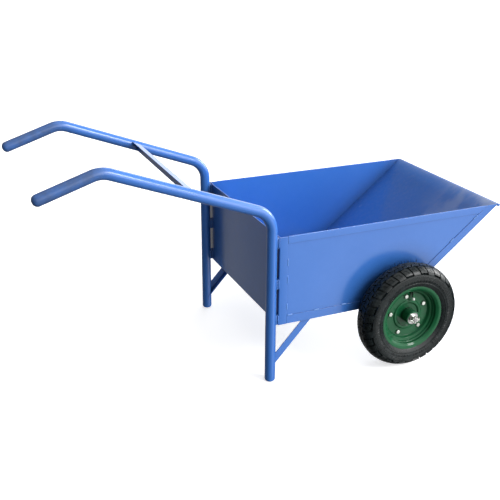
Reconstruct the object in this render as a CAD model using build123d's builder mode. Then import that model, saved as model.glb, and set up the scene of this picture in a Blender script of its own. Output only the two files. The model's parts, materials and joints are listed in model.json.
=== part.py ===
from build123d import *
import os
from math import atan2, cos, radians, sin, sqrt, tan

# A two-wheeled steel barrow: a welded sheet tray with a sloping dump end, two bent handle tubes
# whose front ends are the legs, and two pneumatic wheels on a fixed axle.
# Frame: +X towards the dump end, +Y to the left, +Z up. The origin is on the ground, halfway along
# the barrow and on its plane of symmetry. Millimetres.

# --- Tray ---------------------------------------------------------------------------------
tray_width = 636.0
tray_depth = 311.0
floor_length = 486.0
top_length = 859.0
sheet = 2.0
side_flange = 30.0
top_hem = 25.0
rear_hem = 18.0
seam_gap = 0.8
lip_rod_diameter = 10.0
lip_rod_drop = 2.0

# --- Handles and legs ---------------------------------------------------------------------
tube_diameter = 36.0
tube_wall = 2.0
tube_inset = 13.0
bend_radius = 80.0
knee_above_tray = 76.0
rise_run = 529.0
rise_height = 199.0
grip_run = 196.0
grip_drop = 65.0
foot_cap_height = 10.0
foot_cap_round = 9.0
grip_cap_height = 17.0
grip_cap_round = 16.0

# --- Spacers, braces and crossbar ---------------------------------------------------------
spacer_gap = 4.0
spacer_height = 36.0
spacer_width = 22.0
spacer_from_top = 2.0
spacer_below_middle = 8.0
spacer_from_bottom = 1.0
angle_leg = 25.0
angle_wall = 3.0
brace_drop = 124.5
brace_slope = 47.75
brace_out = 6.0
crossbar_along = 270.0
crossbar_rise = 12.5

# --- Axle and saddles ---------------------------------------------------------------------
axle_bar = 25.0
axle_setback = 19.0
axle_past_tray = 4.0
spindle_diameter = 20.0
thread_diameter = 16.0
saddle_web = 10.5
saddle_wall = 5.0
saddle_cheek = 22.0
saddle_length = 60.0
saddle_from_side = 106.0
end_play = 0.3
collar_wall = 2.5
washer_diameter = 30.0
washer_thickness = 3.0
nut_across_flats = 24.0
nut_height = 13.0
nut_slot_width = 4.2
nut_slot_depth = 4.5
thread_past_nut = 2.0
pin_diameter = 3.2
pin_clearance = 0.2
pin_length = 34.0
pin_eye_radius = 3.4
pin_wire = 2.4

# --- Wheels -------------------------------------------------------------------------------
tyre_radius = 188.0
tyre_section = 93.0
tyre_gap = 8.0
rim_metal = 2.0
rim_seat_radius = 101.6
rim_half_width = 37.5
rim_flange_height = 15.0
rim_well_drop = 5.6
rim_disc_drop = 18.6
rim_ridge_out = 13.0
disc_ring_width = 8.0
disc_ring_height = 4.0
disc_ring_place = 0.77
disc_ring_slope = 3.0
bead_clearance = 0.2
bolt_from_disc_edge = 13.0
bolt_count = 5
bolt_start_angle = 26.0
bolt_diameter = 8.0
bolt_hole_clearance = 0.25
bolt_head_flats = 13.0
bolt_head_height = 5.3
bolt_nut_height = 6.5
bolt_past_nut = 2.5
hub_wall = 4.0
hub_half_length = 40.5
bearing_diameter = 42.0
bearing_width = 12.0
bearing_recess = 2.0
bearing_shoulder = 2.0
bearing_balls = 9
ball_diameter = 6.4
race_depth = 0.6
ball_clearance = 0.05
shield_inset = 0.5
shield_wall = 0.6
shield_clearance = 0.1
running_clearance = 0.03
sleeve_wall = 2.2
sleeve_clearance = 0.3
tube_rubber = 2.0
valve_between_bolts = 0.75
valve_tilt = 66.0
valve_root_out = 7.0
valve_root_in = 16.0
valve_diameter = 8.0
valve_hole_clearance = 0.5
valve_length = 21.0
valve_base = 5.0
valve_cap_diameter = 9.5
valve_cap_length = 9.0
valve_thread_step = 1.4
valve_cap_end = 2.5
tread_wall = 9.0
shoulder_inset = 9.5
shoulder_drop = 13.5
inner_tube_inset = 14.0
inner_tube_slack = 3.0

# --- Places worked out from the sizes -----------------------------------------------------
half_width = tray_width / 2
tube_radius = tube_diameter / 2
lip_rod_radius = lip_rod_diameter / 2
slope = atan2(tray_depth, top_length - floor_length)
along_slope = (cos(slope), sin(slope))
into_tray = (-sin(slope), cos(slope))

# The lip rod lies against the outside of the dump panel, just below its top edge.
rod_past_lip = lip_rod_radius * (1 + sin(slope)) - lip_rod_drop * cos(slope)
leg_to_tray = tube_radius + spacer_gap
grip_reach = rise_run + grip_run
front_reach = leg_to_tray + top_length + rod_past_lip
leg_x = (grip_reach - front_reach) / 2

axle_z = tyre_radius
tray_bottom = axle_z + axle_bar / 2 + saddle_web
tray_top = tray_bottom + tray_depth
tray_rear = leg_x + leg_to_tray
bend_x = tray_rear + floor_length
lip_x = tray_rear + top_length
axle_x = bend_x - axle_setback

tube_y = half_width - tube_inset
knee_z = tray_top + knee_above_tray
elbow = (leg_x - rise_run, knee_z + rise_height)
rise_angle = atan2(rise_height, rise_run)
grip_angle = atan2(grip_drop, grip_run)
grip_end = (leg_x - grip_reach, elbow[1] - grip_drop)

wheel_y = half_width + tyre_gap + tyre_section / 2
rim_flange_radius = rim_seat_radius + rim_flange_height
disc_edge = rim_seat_radius - rim_disc_drop
bolt_circle = 2 * (disc_edge - bolt_from_disc_edge)
hub_radius = bearing_diameter / 2 + hub_wall
bearing_out = hub_half_length - bearing_recess
bearing_in = bearing_out - bearing_width
washer_start = bearing_out + end_play
nut_start = washer_start + washer_thickness
nut_end = nut_start + nut_height
thread_end = nut_end + thread_past_nut
pin_out = nut_end - nut_slot_depth / 2


def write(name, piece):
    """Labels one finished piece and writes it as its own STEP file."""
    piece.part.label = name
    export_step(piece.part, f"parts/{name}.step")


def write_pair(name, right):
    """Writes a right-hand piece and its mirror image across the plane of symmetry."""
    write(f"{name}_right", right)
    with BuildPart() as left:
        mirror(right.part, about=Plane.XZ)
    write(f"{name}_left", left)


def slope_point(along, depth):
    """A point on the dump end's side view, along its slope from the floor and in from its outside."""
    return (
        bend_x + along * along_slope[0] + depth * into_tray[0],
        tray_bottom + along * along_slope[1] + depth * into_tray[1],
    )


def slope_at(height, depth):
    """The same slope line, taken at a height above the ground."""
    along = (height - tray_bottom - depth * into_tray[1]) / along_slope[1]
    return slope_point(along, depth)


def bend_point(depth):
    """The corner between floor and dump end, in from both outsides by the same depth."""
    return (bend_x - depth * tan(slope / 2), tray_bottom + depth)


def side_plane(out):
    """A vertical plane along the barrow on the right-hand side, seen from outside."""
    return Plane.XZ.offset(out)


os.makedirs("parts", exist_ok=True)

# === Tray =================================================================================
with BuildPart() as rear_panel:
    with BuildSketch(Plane.XY.offset(tray_bottom)):
        with BuildLine():
            Polyline(
                (tray_rear, -half_width),
                (tray_rear + side_flange, -half_width),
                (tray_rear + side_flange, -half_width + sheet),
                (tray_rear + sheet, -half_width + sheet),
                (tray_rear + sheet, half_width - sheet),
                (tray_rear + side_flange, half_width - sheet),
                (tray_rear + side_flange, half_width),
                (tray_rear, half_width),
                close=True,
            )
        make_face()
    extrude(amount=tray_depth)
    fillet(
        rear_panel.edges().filter_by(Axis.Z).group_by(Axis.X)[0],
        radius=sheet * 0.9,
    )
    # The top edge is folded forwards and down inside the tray, between the side panels.
    with BuildSketch(Plane.XY.offset(tray_top)):
        with Locations((tray_rear + 1.5 * sheet, 0)):
            Rectangle(sheet, tray_width - 4 * sheet - 2 * seam_gap)
    extrude(amount=-rear_hem)

with BuildPart() as floor_panel:
    with BuildSketch(side_plane(-half_width)):
        Polygon(
            (tray_rear + sheet, tray_bottom),
            (bend_x, tray_bottom),
            bend_point(sheet),
            (tray_rear + sheet, tray_bottom + sheet),
            align=None,
        )
    extrude(amount=tray_width)
    for side_start in (half_width - sheet, -half_width):
        with BuildSketch(side_plane(side_start)):
            Polygon(
                (tray_rear + side_flange, tray_bottom),
                (bend_x, tray_bottom),
                bend_point(side_flange),
                (tray_rear + side_flange, tray_bottom + side_flange),
                align=None,
            )
        extrude(amount=sheet)
    add(rear_panel.part, mode=Mode.SUBTRACT)

with BuildPart() as dump_panel:
    with BuildSketch(side_plane(-half_width)):
        Polygon(
            (bend_x, tray_bottom),
            (lip_x, tray_top),
            slope_at(tray_top, sheet),
            bend_point(sheet),
            align=None,
        )
    extrude(amount=tray_width)
    for side_start in (half_width - sheet, -half_width):
        with BuildSketch(side_plane(side_start)):
            Polygon(
                (bend_x, tray_bottom),
                (lip_x, tray_top),
                slope_at(tray_top, side_flange),
                bend_point(side_flange),
                align=None,
            )
        extrude(amount=sheet)

with BuildPart() as side_panel_right:
    with BuildSketch(side_plane(half_width - 2 * sheet)):
        Polygon(
            (tray_rear + sheet, tray_bottom + sheet),
            bend_point(sheet),
            slope_at(tray_top, sheet),
            (tray_rear + sheet, tray_top),
            align=None,
        )
    extrude(amount=sheet)
    # The top edge is folded outwards and down, between the rear flange and the dump flange.
    with BuildSketch(side_plane(half_width - sheet)):
        Polygon(
            (tray_rear + side_flange + seam_gap, tray_top - top_hem),
            slope_at(tray_top - top_hem, side_flange + seam_gap),
            slope_at(tray_top, side_flange + seam_gap),
            (tray_rear + side_flange + seam_gap, tray_top),
            align=None,
        )
    extrude(amount=sheet)

with BuildPart() as dump_lip_rod:
    rod_along = (tray_depth / sin(slope)) - lip_rod_drop
    rod_x, rod_z = slope_point(rod_along, -lip_rod_radius)
    with BuildSketch(side_plane(-half_width)):
        with Locations((rod_x, rod_z)):
            Circle(lip_rod_radius)
    extrude(amount=tray_width)
    fillet(dump_lip_rod.edges().filter_by(GeomType.CIRCLE), radius=1.0)

write("rear_panel", rear_panel)
write("floor_panel", floor_panel)
write("dump_panel", dump_panel)
write_pair("side_panel", side_panel_right)
write("dump_lip_rod", dump_lip_rod)

# === Handle tubes =========================================================================
# Each tube is one bent piece: grip, long rise and leg. The grip's cap reaches the grip's end.
cap_back = (grip_cap_height * cos(grip_angle), grip_cap_height * sin(grip_angle))
with BuildPart() as tube_space:
    with BuildLine(side_plane(tube_y)) as tube_path:
        FilletPolyline(
            (leg_x, foot_cap_height),
            (leg_x, knee_z),
            elbow,
            (grip_end[0] + cap_back[0], grip_end[1] + cap_back[1]),
            radius=bend_radius,
        )
    foot_plane = Plane(origin=tube_path.wires()[0] @ 0, z_dir=tube_path.wires()[0] % 0)
    grip_plane = Plane(origin=tube_path.wires()[0] @ 1, z_dir=tube_path.wires()[0] % 1)
    with BuildSketch(foot_plane):
        Circle(tube_radius)
    sweep(path=tube_path.wires()[0])

with BuildPart() as handle_tube_right:
    add(tube_space.part)
    with BuildSketch(foot_plane):
        Circle(tube_radius - tube_wall)
    sweep(path=tube_path.wires()[0], mode=Mode.SUBTRACT)

with BuildPart() as foot_cap_right:
    with BuildSketch(foot_plane):
        Circle(tube_radius)
    extrude(amount=-foot_cap_height)
    fillet(foot_cap_right.edges().group_by(Axis.Z)[0], radius=foot_cap_round)

with BuildPart() as grip_cap_right:
    with BuildSketch(grip_plane):
        Circle(tube_radius)
    extrude(amount=grip_cap_height)
    grip_axis = Axis(grip_plane.origin, grip_plane.z_dir)
    fillet(grip_cap_right.edges().group_by(grip_axis)[-1], radius=grip_cap_round)

write_pair("handle_tube", handle_tube_right)
write_pair("foot_cap", foot_cap_right)
write_pair("grip_cap", grip_cap_right)

# === Crossbar between the handles =========================================================
# Its flat leg faces up along the rise and its other leg hangs down on the tray side.
bar_along = crossbar_along / cos(rise_angle)
bar_origin = (
    leg_x - bar_along * cos(rise_angle) + crossbar_rise * sin(rise_angle),
    0,
    knee_z + bar_along * sin(rise_angle) + crossbar_rise * cos(rise_angle),
)
bar_plane = Plane(
    origin=bar_origin, x_dir=(cos(rise_angle), 0, -sin(rise_angle)), z_dir=(0, -1, 0)
)
with BuildPart() as handle_crossbar:
    with BuildSketch(bar_plane):
        Polygon(
            (-angle_leg / 2, 0),
            (-angle_leg / 2, -angle_wall),
            (angle_leg / 2 - angle_wall, -angle_wall),
            (angle_leg / 2 - angle_wall, -angle_leg),
            (angle_leg / 2, -angle_leg),
            (angle_leg / 2, 0),
            align=None,
        )
    extrude(amount=tube_y, both=True)
    add(tube_space.part, mode=Mode.SUBTRACT)
    mirror(tube_space.part, about=Plane.XZ, mode=Mode.SUBTRACT)

write("handle_crossbar", handle_crossbar)

# === Spacers and braces that tie each leg to the tray =====================================
spacer_centres = (
    tray_top - spacer_from_top - spacer_height / 2,
    tray_top - tray_depth / 2 - spacer_below_middle,
    tray_bottom + spacer_from_bottom + spacer_height / 2,
)
with BuildPart() as leg_spacers_right:
    for height in spacer_centres:
        with BuildSketch(Plane.XY.offset(height - spacer_height / 2)):
            with Locations(((leg_x + tray_rear) / 2, -tube_y)):
                Rectangle(leg_to_tray, spacer_width)
        extrude(amount=spacer_height)
    add(tube_space.part, mode=Mode.SUBTRACT)

# The brace runs from the leg's front up to the tray's underside, its flat leg facing outwards.
brace_angle = radians(brace_slope)
brace_plane = Plane(
    origin=(leg_x, -(tube_y + brace_out), tray_bottom - brace_drop - tube_radius * tan(brace_angle)),
    x_dir=(-sin(brace_angle), 0, cos(brace_angle)),
    z_dir=(cos(brace_angle), 0, sin(brace_angle)),
).offset(-angle_leg / 2)
brace_reach = (brace_drop + tube_radius * tan(brace_angle)) / sin(brace_angle) + 1.5 * angle_leg
with BuildPart() as leg_brace_right:
    with BuildSketch(brace_plane):
        Polygon(
            (angle_leg / 2, 0),
            (-angle_leg / 2, 0),
            (-angle_leg / 2, -angle_leg),
            (angle_wall - angle_leg / 2, -angle_leg),
            (angle_wall - angle_leg / 2, -angle_wall),
            (angle_leg / 2, -angle_wall),
            align=None,
        )
    extrude(amount=brace_reach)
    split(bisect_by=Plane.XY.offset(tray_bottom), keep=Keep.BOTTOM)
    split(bisect_by=Plane.YZ.offset(leg_x), keep=Keep.TOP)
    add(tube_space.part, mode=Mode.SUBTRACT)

write_pair("leg_spacers", leg_spacers_right)
write_pair("leg_brace", leg_brace_right)

# === Axle =================================================================================
# A square bar with turned spindles; each spindle ends in a smaller threaded length.
spindle_end = wheel_y + bearing_out
bar_end = half_width + axle_past_tray


def axle_plane(out):
    """The plane across the right-hand spindle at a distance from the barrow's middle."""
    return Plane(origin=(axle_x, -out, axle_z), x_dir=(1, 0, 0), z_dir=(0, -1, 0))


with BuildPart() as axle:
    with BuildSketch(axle_plane(0)):
        Rectangle(axle_bar, axle_bar)
    extrude(amount=bar_end)
    with BuildSketch(axle_plane(bar_end)):
        Circle(spindle_diameter / 2)
    extrude(amount=spindle_end - bar_end)
    with BuildSketch(axle_plane(spindle_end)):
        Circle(thread_diameter / 2)
    extrude(amount=wheel_y + thread_end - spindle_end)
    chamfer(axle.edges().group_by(Axis.Y)[0], length=1.5)
    with BuildSketch(Plane(origin=(axle_x, -(wheel_y + pin_out), axle_z), z_dir=(1, 0, 0))):
        Circle(pin_diameter / 2 + pin_clearance)
    extrude(amount=thread_diameter, both=True, mode=Mode.SUBTRACT)
    mirror(about=Plane.XZ)

with BuildPart() as axle_saddle_right:
    saddle_plane = axle_plane(half_width - saddle_from_side - saddle_length / 2)
    saddle_half = axle_bar / 2 + saddle_wall
    top_rise = axle_bar / 2 + saddle_web
    with BuildSketch(saddle_plane):
        with BuildLine():
            Polyline(
                (-saddle_half, top_rise),
                (-saddle_half, top_rise - saddle_web - saddle_cheek),
                (-axle_bar / 2, top_rise - saddle_web - saddle_cheek),
                (-axle_bar / 2, axle_bar / 2),
                (axle_bar / 2, axle_bar / 2),
                (axle_bar / 2, top_rise - saddle_web - saddle_cheek),
                (saddle_half, top_rise - saddle_web - saddle_cheek),
                (saddle_half, top_rise),
                close=True,
            )
        make_face()
    extrude(amount=saddle_length)

with BuildPart() as axle_collar_right:
    with BuildSketch(axle_plane(bar_end)):
        Circle(spindle_diameter / 2 + collar_wall)
        Circle(spindle_diameter / 2, mode=Mode.SUBTRACT)
    extrude(amount=wheel_y - bearing_out - end_play - bar_end)
    chamfer(axle_collar_right.edges().group_by(Axis.Y)[0].sort_by(SortBy.RADIUS)[-1], length=1.0)

with BuildPart() as axle_washer_right:
    with BuildSketch(axle_plane(wheel_y + washer_start)):
        Circle(washer_diameter / 2)
        Circle(thread_diameter / 2, mode=Mode.SUBTRACT)
    extrude(amount=washer_thickness)

with BuildPart() as axle_nut_right:
    with BuildSketch(axle_plane(wheel_y + nut_start)):
        RegularPolygon(nut_across_flats / 2, 6, major_radius=False)
    extrude(amount=nut_height)
    # The corners are turned off at both ends, as on any forged nut.
    with BuildSketch(axle_plane(wheel_y + nut_start)):
        Circle(nut_across_flats / 2 * 1.09)
    extrude(amount=nut_height, mode=Mode.INTERSECT)
    with BuildSketch(axle_plane(wheel_y + nut_start)):
        Circle(thread_diameter / 2)
    extrude(amount=nut_height, mode=Mode.SUBTRACT)
    with BuildSketch(axle_plane(wheel_y + nut_end)):
        with PolarLocations(0, 3, angular_range=180):
            Rectangle(nut_across_flats * 2, nut_slot_width)
    extrude(amount=-nut_slot_depth, mode=Mode.SUBTRACT)

with BuildPart() as cotter_pin_right:
    with BuildSketch(Plane(origin=(axle_x, -(wheel_y + pin_out), axle_z), z_dir=(1, 0, 0))):
        Circle(pin_diameter / 2)
    extrude(amount=pin_length / 2, both=True)
    eye_x = axle_x - pin_length / 2 - pin_eye_radius
    with Locations(Plane(origin=(eye_x, -(wheel_y + pin_out), axle_z), z_dir=(0, 1, 0))):
        Torus(pin_eye_radius, pin_wire / 2)

write("axle", axle)
write_pair("axle_saddle", axle_saddle_right)
write_pair("axle_collar", axle_collar_right)
write_pair("axle_washer", axle_washer_right)
write_pair("axle_nut", axle_nut_right)
write_pair("cotter_pin", cotter_pin_right)

# === Wheel ================================================================================
# Profiles are drawn as (distance out from the wheel's middle plane, radius) and turned.
wheel_profile = Plane(origin=(axle_x, -wheel_y, axle_z), x_dir=(0, -1, 0), z_dir=(-1, 0, 0))
wheel_axis = Axis((axle_x, -wheel_y, axle_z), (0, -1, 0))
wheel_middle = side_plane(wheel_y)


def wheel_face(out):
    """A plane square to the right-hand axle at a distance out from the wheel's middle plane."""
    return axle_plane(wheel_y + out)


# The valve leaves the outer rim half between two bolts and leans towards the hub.
valve_turn = radians(bolt_start_angle + valve_between_bolts * 360 / bolt_count)
valve_lean = radians(valve_tilt)
outward = Vector(0, -1, 0)
radial = Vector(cos(valve_turn), 0, sin(valve_turn))
wheel_centre = Vector(axle_x, -wheel_y, axle_z)
valve_root = wheel_centre + outward * valve_root_out + radial * (rim_seat_radius - valve_root_in)
valve_direction = outward * cos(valve_lean) - radial * sin(valve_lean)
valve_plane = Plane(origin=valve_root, z_dir=valve_direction)
valve_tip_plane = Plane(origin=valve_root + valve_direction * valve_length, z_dir=valve_direction)

# The pressed ring stands between the hub and the bolt heads, nearer to the bolts.
bolt_head_corner = bolt_head_flats / sqrt(3)
ring_room = bolt_circle / 2 - bolt_head_corner - hub_radius - disc_ring_width - 2 * disc_ring_slope
ring_start = hub_radius + disc_ring_place * ring_room + disc_ring_slope
well_radius = rim_seat_radius - rim_well_drop
with BuildPart() as rim_outer_right:
    with BuildSketch(wheel_profile):
        with BuildLine():
            rim_face = FilletPolyline(
                (rim_metal, hub_radius),
                (rim_metal, ring_start - disc_ring_slope),
                (rim_metal + disc_ring_height, ring_start),
                (rim_metal + disc_ring_height, ring_start + disc_ring_width),
                (rim_metal, ring_start + disc_ring_width + disc_ring_slope),
                (rim_metal, disc_edge),
                (rim_ridge_out - 1, disc_edge + 5),
                (rim_ridge_out + 0.5, well_radius - 1.5),
                (rim_ridge_out + 7, well_radius),
                (rim_ridge_out + 8.5, rim_seat_radius - rim_metal),
                (rim_half_width - 7.5, rim_seat_radius - rim_metal),
                (rim_half_width - 1.5, rim_flange_radius - 9),
                (rim_half_width, rim_flange_radius),
                radius=rim_metal * 1.1,
            )
            offset(rim_face, amount=rim_metal, side=Side.LEFT, closed=True)
        make_face()
    revolve(axis=wheel_axis)
    with BuildSketch(wheel_face(0)):
        with PolarLocations(bolt_circle / 2, bolt_count, start_angle=bolt_start_angle):
            Circle(bolt_diameter / 2 + bolt_hole_clearance)
    extrude(amount=rim_metal, mode=Mode.SUBTRACT)
    with BuildSketch(valve_plane):
        Circle(valve_diameter / 2 + valve_hole_clearance)
    extrude(amount=2 * rim_metal + 1, both=True, mode=Mode.SUBTRACT)

with BuildPart() as rim_inner_right:
    with BuildSketch(wheel_profile):
        with BuildLine():
            add(rim_face)
            offset(rim_face, amount=rim_metal, side=Side.LEFT, closed=True)
        make_face()
    revolve(axis=wheel_axis)
    with BuildSketch(wheel_face(0)):
        with PolarLocations(bolt_circle / 2, bolt_count, start_angle=bolt_start_angle):
            Circle(bolt_diameter / 2 + bolt_hole_clearance)
    extrude(amount=rim_metal, mode=Mode.SUBTRACT)
    mirror(about=wheel_middle)
    split(bisect_by=wheel_middle, keep=Keep.BOTTOM)

with BuildPart() as rim_bolts_right:
    with BuildSketch(wheel_face(rim_metal)):
        with PolarLocations(bolt_circle / 2, bolt_count, start_angle=bolt_start_angle):
            RegularPolygon(bolt_head_flats / 2, 6, major_radius=False)
    extrude(amount=bolt_head_height)
    chamfer(rim_bolts_right.edges().group_by(Axis.Y)[0], length=0.6)
    shank = 2 * rim_metal + bolt_nut_height + bolt_past_nut
    with BuildSketch(wheel_face(rim_metal)):
        with PolarLocations(bolt_circle / 2, bolt_count, start_angle=bolt_start_angle):
            Circle(bolt_diameter / 2)
    extrude(amount=-shank)

with BuildPart() as rim_nuts_right:
    with BuildSketch(wheel_face(-rim_metal)):
        with PolarLocations(bolt_circle / 2, bolt_count, start_angle=bolt_start_angle):
            RegularPolygon(bolt_head_flats / 2, 6, major_radius=False)
            Circle(bolt_diameter / 2, mode=Mode.SUBTRACT)
    extrude(amount=-bolt_nut_height)

# The tyre is a bead on each rim seat, two bulging walls and a crown thickened for the tread.
wall_out = tyre_section / 2
bead_top = rim_flange_radius
bead_radius = rim_seat_radius + bead_clearance
wall_height = tyre_radius - bead_top
bead_toe = (rim_ridge_out + 8, bead_radius)
shoulder_out = wall_out - shoulder_inset
with BuildPart() as tyre_right:
    with BuildSketch(wheel_profile):
        with BuildLine():
            outside = Spline(
                (rim_half_width - 1.0, bead_top + 1.6),
                (wall_out - 2.5, bead_top + wall_height * 0.22),
                (wall_out, bead_top + wall_height * 0.46),
                (wall_out - 2.5, bead_top + wall_height * 0.66),
                (shoulder_out, tyre_radius - shoulder_drop),
            )
            crown = ThreePointArc(
                outside @ 1, (0, tyre_radius), (-shoulder_out, tyre_radius - shoulder_drop)
            )
            bead_face = Polyline(
                bead_toe,
                (rim_half_width - 8.9, bead_radius),
                (rim_half_width - 4.2, rim_seat_radius + 6.4),
                (rim_half_width - 2.6, bead_top),
                outside @ 0,
            )
            inside = Spline(
                bead_toe,
                (rim_half_width - 10.5, rim_seat_radius + 12.0),
                (wall_out - 7.0, bead_top + wall_height * 0.36),
                (shoulder_out - 1.0, bead_top + wall_height * 0.62),
                (0, tyre_radius - tread_wall),
                tangents=[(0, 1), (-1, 0)],
            )
            mirror(outside, about=Plane.YZ)
            mirror(bead_face, about=Plane.YZ)
            mirror(inside, about=Plane.YZ)
        make_face()
    revolve(axis=wheel_axis)

with BuildPart() as inner_tube_right:
    air_top = tyre_radius - tread_wall - inner_tube_slack / 2
    air_rise = (tyre_radius - tread_wall - rim_seat_radius) / 2 - inner_tube_slack
    air_width = wall_out - inner_tube_inset
    with BuildSketch(wheel_profile):
        with Locations((0, air_top - air_rise)):
            Ellipse(air_width, air_rise)
            Ellipse(air_width - tube_rubber, air_rise - tube_rubber, mode=Mode.SUBTRACT)
    revolve(axis=wheel_axis)

with BuildPart() as valve_stem_right:
    with BuildSketch(valve_plane.offset(-valve_base)):
        Circle(valve_diameter / 2)
    extrude(amount=valve_base + valve_length)
    with BuildSketch(valve_tip_plane):
        Circle(valve_diameter / 2 - valve_thread_step)
    extrude(amount=valve_cap_length - valve_cap_end)

with BuildPart() as valve_cap_right:
    with BuildSketch(valve_tip_plane):
        Circle(valve_cap_diameter / 2)
    extrude(amount=valve_cap_length)
    valve_line = Axis(valve_tip_plane.origin, valve_tip_plane.z_dir)
    fillet(valve_cap_right.edges().group_by(valve_line)[-1], radius=1.2)
    with BuildSketch(valve_tip_plane):
        Circle(valve_diameter / 2 - valve_thread_step)
    extrude(amount=valve_cap_length - valve_cap_end, mode=Mode.SUBTRACT)

with BuildPart() as hub_right:
    with BuildSketch(wheel_profile):
        with BuildLine():
            Polyline(
                (0, hub_radius),
                (hub_half_length - 1, hub_radius),
                (hub_half_length, hub_radius - 1),
                (hub_half_length, bearing_diameter / 2),
                (bearing_in, bearing_diameter / 2),
                (bearing_in, bearing_diameter / 2 - bearing_shoulder),
                (0, bearing_diameter / 2 - bearing_shoulder),
                close=True,
            )
        make_face()
        mirror(about=Plane.YZ)
    revolve(axis=wheel_axis)

# Each bearing is an outer ring, an inner ring, a row of balls and two shields.
bore_radius = spindle_diameter / 2 + running_clearance
ball_track = (bearing_diameter / 2 + bore_radius) / 2
ball_radius = ball_diameter / 2
outer_land = ball_track + ball_radius - race_depth
inner_land = ball_track - ball_radius + race_depth
with BuildPart() as bearings_right:
    for middle in (bearing_out - bearing_width / 2, bearing_width / 2 - bearing_out):
        with BuildSketch(wheel_profile):
            for low, high in ((outer_land, bearing_diameter / 2), (bore_radius, inner_land)):
                with Locations((middle, (low + high) / 2)):
                    Rectangle(bearing_width, high - low)
            with Locations((middle, ball_track)):
                Circle(ball_radius + ball_clearance, mode=Mode.SUBTRACT)
            for end in (-1, 1):
                shield_out = middle + end * (bearing_width / 2 - shield_inset)
                with Locations((shield_out, ball_track)):
                    Rectangle(shield_wall, outer_land - inner_land - 2 * shield_clearance)
        revolve(axis=wheel_axis)
        with Locations(wheel_face(middle)):
            with PolarLocations(ball_track, bearing_balls):
                Sphere(ball_radius)

with BuildPart() as bearing_sleeve_right:
    sleeve_bore = spindle_diameter / 2 + sleeve_clearance
    with BuildSketch(wheel_face(bearing_in)):
        Circle(sleeve_bore + sleeve_wall)
        Circle(sleeve_bore, mode=Mode.SUBTRACT)
    extrude(amount=-2 * bearing_in)

write_pair("rim_outer", rim_outer_right)
write_pair("rim_inner", rim_inner_right)
write_pair("rim_bolts", rim_bolts_right)
write_pair("rim_nuts", rim_nuts_right)
write_pair("tyre", tyre_right)
write_pair("inner_tube", inner_tube_right)
write_pair("valve_stem", valve_stem_right)
write_pair("valve_cap", valve_cap_right)
write_pair("hub", hub_right)
write_pair("bearings", bearings_right)
write_pair("bearing_sleeve", bearing_sleeve_right)
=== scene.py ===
import json
import math

import bmesh
import bpy
import numpy as np
from mathutils import Matrix, Vector


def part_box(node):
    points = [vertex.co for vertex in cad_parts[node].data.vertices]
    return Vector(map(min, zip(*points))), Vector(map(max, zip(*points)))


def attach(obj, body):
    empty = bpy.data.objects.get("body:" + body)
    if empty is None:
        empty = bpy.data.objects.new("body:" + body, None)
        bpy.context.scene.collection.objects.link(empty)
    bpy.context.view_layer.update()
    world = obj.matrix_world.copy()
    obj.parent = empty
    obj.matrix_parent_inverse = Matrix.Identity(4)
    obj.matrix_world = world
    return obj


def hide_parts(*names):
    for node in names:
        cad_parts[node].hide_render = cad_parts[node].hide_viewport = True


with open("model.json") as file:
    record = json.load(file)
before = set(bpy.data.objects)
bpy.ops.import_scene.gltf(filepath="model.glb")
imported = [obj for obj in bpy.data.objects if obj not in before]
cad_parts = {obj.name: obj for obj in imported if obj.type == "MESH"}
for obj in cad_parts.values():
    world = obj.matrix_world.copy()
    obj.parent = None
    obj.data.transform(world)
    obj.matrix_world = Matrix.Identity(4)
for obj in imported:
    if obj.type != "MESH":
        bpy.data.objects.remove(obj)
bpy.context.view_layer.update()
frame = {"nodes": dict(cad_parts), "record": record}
nodes = frame["nodes"]


# === Shader helpers =======================================================================
def new_group(name, inputs, outputs):
    """An empty shader node group with (name, socket type, default) inputs and (name, type) outputs."""
    group = bpy.data.node_groups.new(name, "ShaderNodeTree")
    for label, kind, default in inputs:
        socket = group.interface.new_socket(label, in_out="INPUT", socket_type=kind)
        socket.default_value = default
    for label, kind in outputs:
        group.interface.new_socket(label, in_out="OUTPUT", socket_type=kind)
    return group


FLOAT, COLOUR = "NodeSocketFloat", "NodeSocketColor"


class Wiring:
    """Short calls that add nodes to one node tree and join them."""

    def __init__(self, tree):
        self.tree = tree

    def node(self, kind, **settings):
        made = self.tree.nodes.new(kind)
        for key, value in settings.items():
            setattr(made, key, value)
        return made

    def plug(self, target, value):
        if isinstance(value, bpy.types.NodeSocket):
            self.tree.links.new(value, target)
        else:
            target.default_value = value

    def maths(self, operation, first, second=0.0, third=0.0, clamp=False):
        made = self.node("ShaderNodeMath", operation=operation, use_clamp=clamp)
        for socket, value in zip(made.inputs, (first, second, third)):
            self.plug(socket, value)
        return made.outputs[0]

    def add(self, first, second):
        return self.maths("ADD", first, second)

    def times(self, first, second, clamp=False):
        return self.maths("MULTIPLY", first, second, clamp=clamp)

    def noise(self, vector, scale, detail=3.0, roughness=0.5, distortion=0.0):
        made = self.node("ShaderNodeTexNoise")
        self.plug(made.inputs["Vector"], vector)
        self.plug(made.inputs["Scale"], scale)
        made.inputs["Detail"].default_value = detail
        made.inputs["Roughness"].default_value = roughness
        made.inputs["Distortion"].default_value = distortion
        return made.outputs["Fac"]

    def ramp(self, value, low, high, out_low=0.0, out_high=1.0):
        """Maps low..high to out_low..out_high with smooth ends, held beyond them."""
        made = self.node("ShaderNodeMapRange", interpolation_type="SMOOTHSTEP")
        for socket, number in zip(made.inputs, (value, low, high, out_low, out_high)):
            self.plug(socket, number)
        return made.outputs["Result"]

    def mix(self, factor, first, second, blend="MIX"):
        made = self.node("ShaderNodeMix", data_type="RGBA", blend_type=blend)
        self.plug(made.inputs["Factor"], factor)
        self.plug(made.inputs["A"], first)
        self.plug(made.inputs["B"], second)
        return made.outputs["Result"]

    def stretched(self, vector, scale):
        made = self.node("ShaderNodeMapping")
        self.plug(made.inputs["Vector"], vector)
        made.inputs["Scale"].default_value = scale
        return made.outputs["Vector"]


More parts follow.
